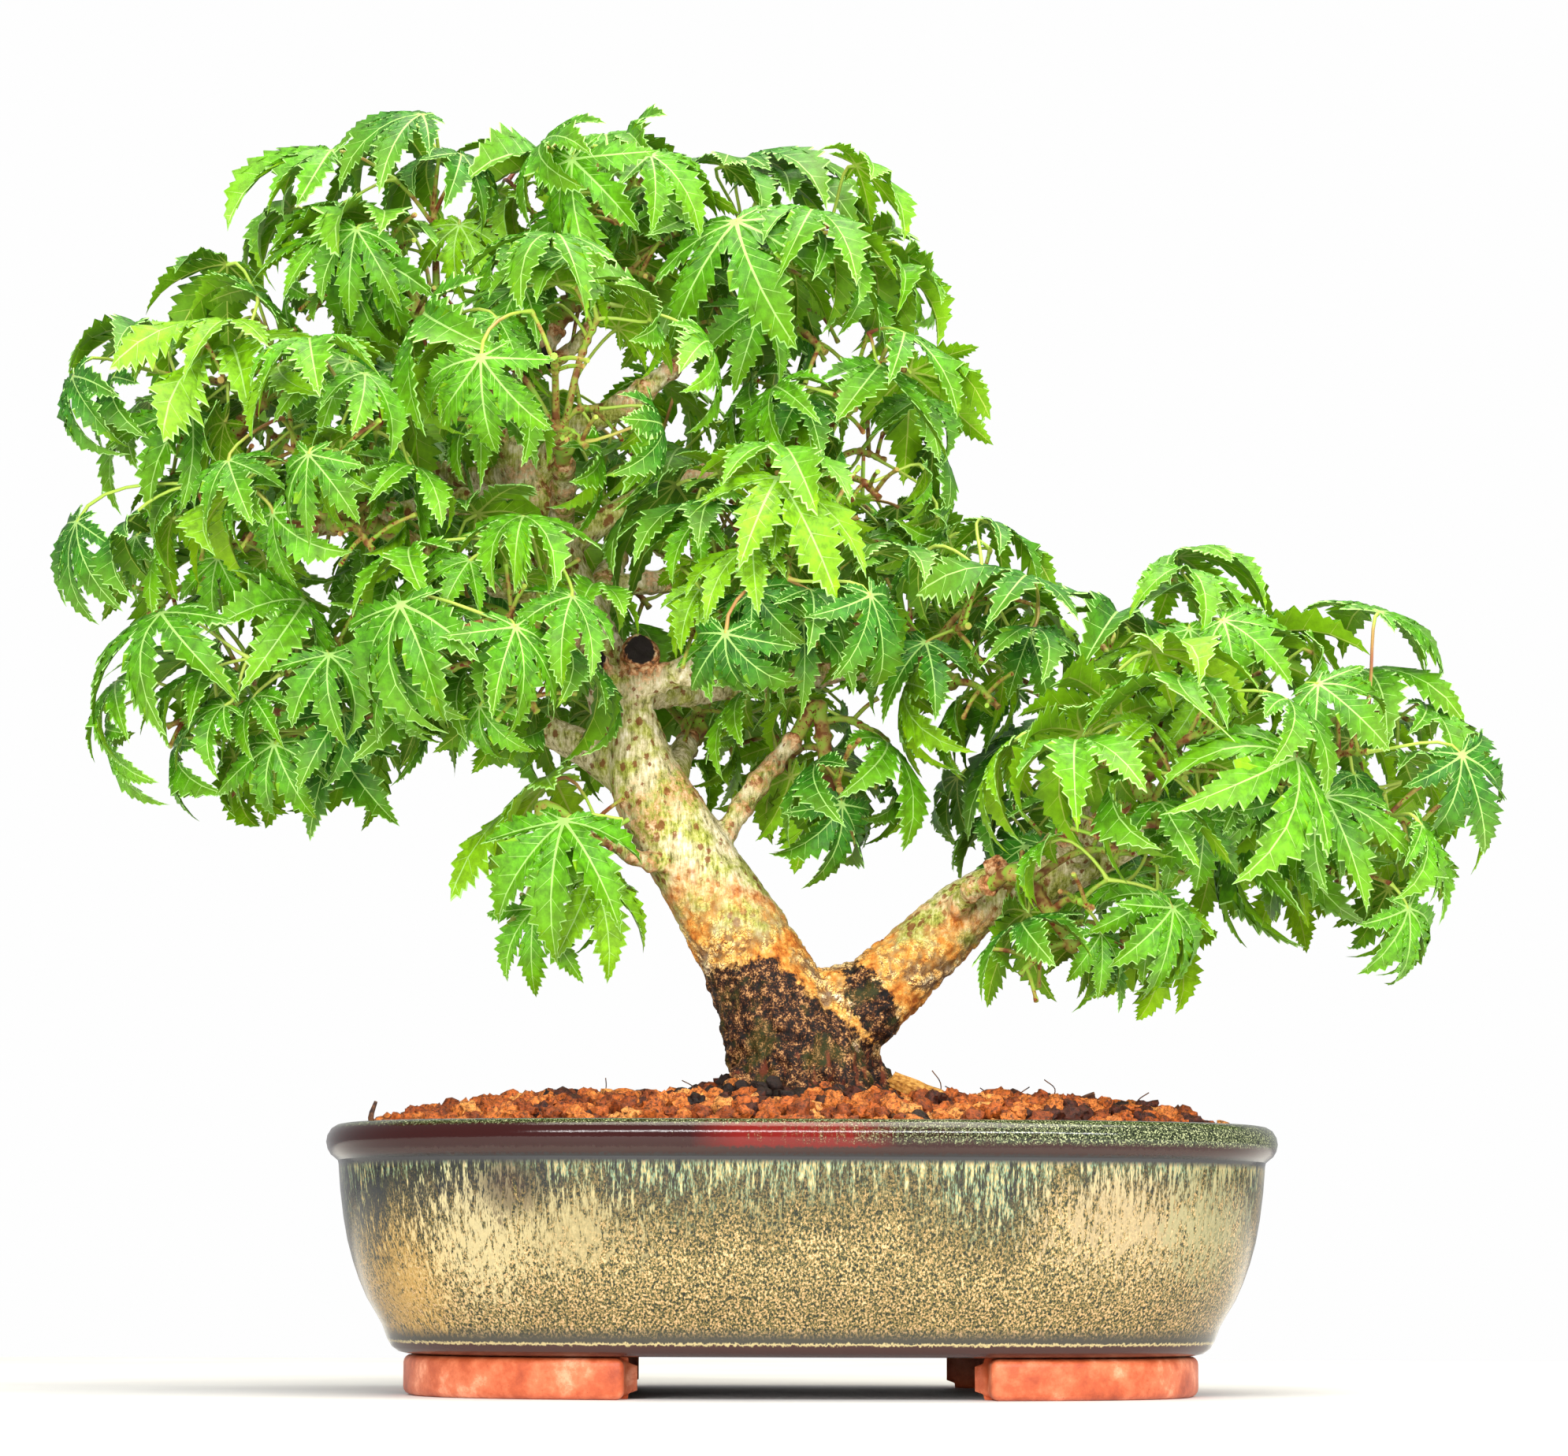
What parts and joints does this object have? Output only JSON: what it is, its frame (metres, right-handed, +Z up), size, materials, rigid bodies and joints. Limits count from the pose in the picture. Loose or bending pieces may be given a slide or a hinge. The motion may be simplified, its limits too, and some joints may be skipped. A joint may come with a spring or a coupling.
{
  "type": "potted maple bonsai",
  "caption": "Small maple tree trained as a bonsai, with a leaning trunk, a low side bough and lobed leaves, in a shallow glazed pot on feet.",
  "frame": {"origin": "middle of the whole plant's box, at the height of the table under the pot's feet", "axes": "+Z up, +X along the pot's long side towards the low side bough, +Y from the pot's front to its back"},
  "size_m": [0.3876, 0.1972, 0.3467],
  "materials": {
    "glaze": "glossy speckled olive glaze over stoneware",
    "terracotta": "unglazed orange clay",
    "akadama": "matte fired clay granules",
    "bark": "rough grey-tan bark",
    "leaf": "satin green leaf"
  },
  "bodies": {
    "root": {"apex_bough": "bark", "apex_leaves": "leaf", "back_bough": "bark", "back_leaves": "leaf", "back_left_bough": "bark", "back_left_leaves": "leaf", "back_low_bough": "bark", "back_low_leaves": "leaf", "back_right_bough": "bark", "back_right_leaves": "leaf", "bridge_bough": "bark", "bridge_leaves": "leaf", "foot_back_left": "terracotta", "foot_back_right": "terracotta", "foot_front_left": "terracotta", "foot_front_right": "terracotta", "front_bough": "bark", "front_leaves": "leaf", "front_left_leaves": "leaf", "front_low_bough": "bark", "front_low_leaves": "leaf", "leader": "bark", "left_shoulder_leaves": "leaf", "left_skirt_leaves": "leaf", "low_left_bough": "bark", "low_left_leaves": "leaf", "mid_left_bough": "bark", "middle_bough": "bark", "middle_leaves": "leaf", "pot": "glaze", "right_back_bough": "bark", "right_back_leaves": "leaf", "right_bough": "bark", "right_front_bough": "bark", "right_front_leaves": "leaf", "right_low_bough": "bark", "right_low_leaves": "leaf", "right_outer_leaves": "leaf", "right_shoulder_bough": "bark", "right_shoulder_leaves": "leaf", "right_top_bough": "bark", "right_top_leaves": "leaf", "shoulder_bough": "bark", "skirt_bough": "bark", "small_branch": "bark", "small_branch_leaves": "leaf", "soil": "akadama", "spur": "bark", "spur_leaves": "leaf", "top_left_leaves": "leaf", "top_right_leaves": "leaf", "trunk": "bark", "upper_right_bough": "bark"}
  },
  "joints": []
}
